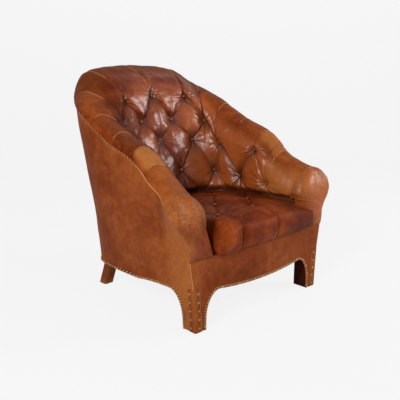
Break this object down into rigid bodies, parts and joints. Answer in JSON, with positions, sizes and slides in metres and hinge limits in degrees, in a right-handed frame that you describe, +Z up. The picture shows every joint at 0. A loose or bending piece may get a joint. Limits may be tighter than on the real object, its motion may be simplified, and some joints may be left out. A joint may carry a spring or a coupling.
{
  "type": "leather tub chair",
  "caption": "Low tub chair with one wrap-round tufted arm and back, a tufted sprung seat, a padded roll along the top and leather-covered legs.",
  "frame": {"origin": "bottom centre of the bounding box, on the floor", "axes": "+Z up, -Y towards the front of the chair, +X to the right as seen from the front, which is the side that the node names call right"},
  "size_m": [0.7998, 0.8627, 0.8753],
  "materials": {
    "frame_wood": "sawn beech",
    "jute": "woven jute",
    "spring_steel": "coppered wire",
    "dust_cloth": "black cloth",
    "glide_steel": "plated",
    "nail_brass": "antiqued",
    "panel_leather": "waxed, worn",
    "trim_leather": "waxed, worn",
    "pad_leather": "waxed, glossy, worn"
  },
  "bodies": {
    "root": {"front_post_left": "frame_wood", "front_post_right": "frame_wood", "back_leg_left": "frame_wood", "back_leg_right": "frame_wood", "front_rail": "frame_wood", "side_rail_left": "frame_wood", "side_rail_right": "frame_wood", "back_rail": "frame_wood", "corner_blocks": "frame_wood", "arm_rail_left": "frame_wood", "arm_rail_right": "frame_wood", "top_rail": "frame_wood", "webbing_long": "jute", "webbing_cross": "jute", "seat_springs": "spring_steel", "spring_hessian": "jute", "dust_cover": "dust_cloth", "seat_pad": "pad_leather", "back_pad": "pad_leather", "arm_pad_left": "pad_leather", "arm_pad_right": "pad_leather", "arm_front_left": "pad_leather", "arm_front_right": "pad_leather", "outside_arm_left": "panel_leather", "outside_arm_right": "panel_leather", "outside_back": "panel_leather", "front_apron": "panel_leather", "back_leg_cover_left": "panel_leather", "back_leg_cover_right": "panel_leather", "leg_strip_left": "trim_leather", "leg_strip_right": "trim_leather", "edging_front": "trim_leather", "edging_left": "trim_leather", "edging_right": "trim_leather", "edging_back": "trim_leather", "nails_front": "nail_brass", "nails_left": "nail_brass", "nails_right": "nail_brass", "back_buttons": "pad_leather", "arm_buttons_left": "pad_leather", "arm_buttons_right": "pad_leather", "seat_buttons": "pad_leather", "roll_welt": "trim_leather", "foot_glides": "glide_steel"}
  },
  "joints": []
}
